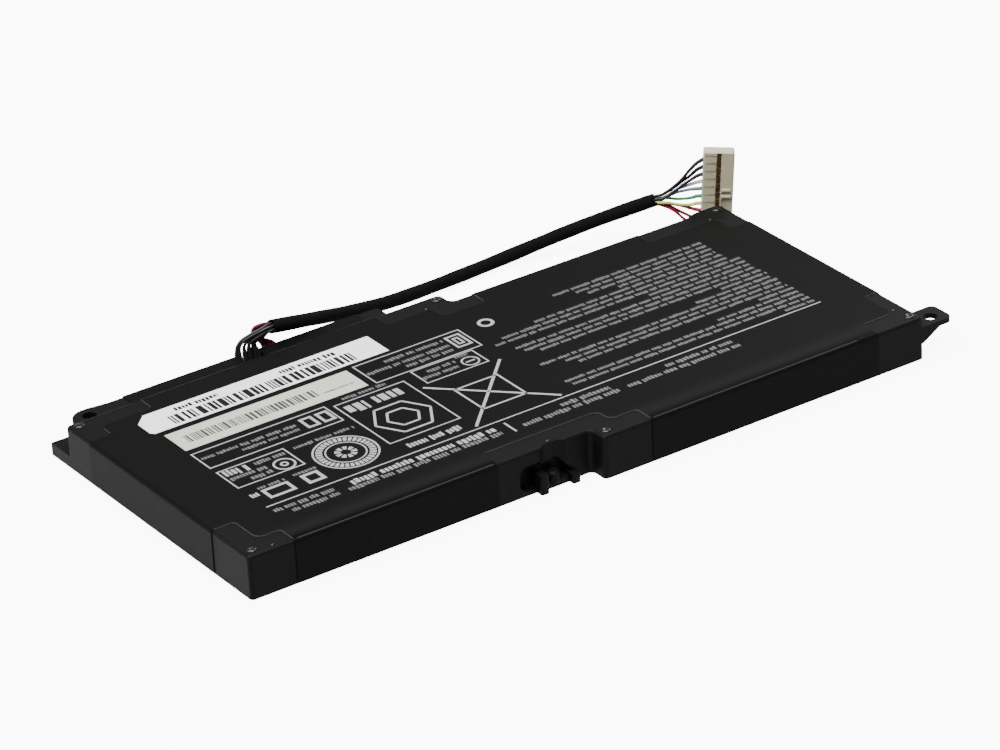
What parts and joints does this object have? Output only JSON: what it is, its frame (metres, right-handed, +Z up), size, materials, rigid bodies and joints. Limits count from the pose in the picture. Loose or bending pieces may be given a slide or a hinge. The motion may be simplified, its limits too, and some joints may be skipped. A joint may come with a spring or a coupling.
{
  "type": "laptop battery pack",
  "caption": "Flat stepped laptop battery pack: black moulded frame with screw ears and a fork, printed film, stickers, and a sleeved wire harness ending in an ivory plug.",
  "frame": {"origin": "centre of the bounding box at the bottom face the pack lies on, measured without the harness", "axes": "+X along the long side towards the right ear, +Y from the fork side towards the wire bay, +Z up through the printed face"},
  "size_m": [0.1852, 0.1018, 0.0226],
  "materials": {
    "frame_plastic": "black moulded plastic, fine satin grain",
    "bottom_plastic": "thin black sheet, dull",
    "film": "dark printed film, satin",
    "white_label": "white coated label, satin",
    "cream_label": "cream coated label, satin",
    "cell_case": "bare drawn can, satin",
    "foam": "black foam, dull",
    "nickel": "plain nickel strip, satin",
    "board": "green board lacquer, semi-gloss",
    "package": "black moulded package, dull",
    "sleeve": "woven black sleeve, dull",
    "plug_plastic": "ivory moulded plastic, satin",
    "contact_brass": "stamped contact, bright",
    "wire_black": "black insulation, satin",
    "wire_grey": "pale grey insulation, satin",
    "wire_blue": "blue-grey insulation, satin",
    "wire_green": "green insulation, satin",
    "wire_yellow": "yellow insulation, satin",
    "wire_red": "red insulation, satin"
  },
  "bodies": {
    "root": {"barcode_sticker": "white_label", "bottom_sheet": "bottom_plastic", "cell_1": "cell_case", "cell_2": "cell_case", "cell_3": "cell_case", "cell_4": "cell_case", "charge_switch": "package", "chemical_fuse": "package", "discharge_switch": "package", "foam_pad_1": "foam", "foam_pad_2": "foam", "foam_pad_3": "foam", "foam_pad_4": "foam", "frame": "frame_plastic", "gauge_chip": "package", "harness_sleeve": "sleeve", "label_film": "film", "lot_sticker": "cream_label", "negative_strap": "nickel", "plug_contacts": "contact_brass", "plug_housing": "plug_plastic", "positive_strap": "nickel", "protection_board": "board", "sense_resistor": "package", "series_strap_1": "nickel", "series_strap_2": "nickel", "series_strap_3": "nickel", "thermistor": "package", "wire_01_black": "wire_black", "wire_02_black": "wire_black", "wire_03_black": "wire_black", "wire_04_grey": "wire_grey", "wire_05_blue": "wire_blue", "wire_06_green": "wire_green", "wire_07_yellow": "wire_yellow", "wire_08_red": "wire_red", "wire_09_red": "wire_red", "wire_10_red": "wire_red"}
  },
  "joints": []
}
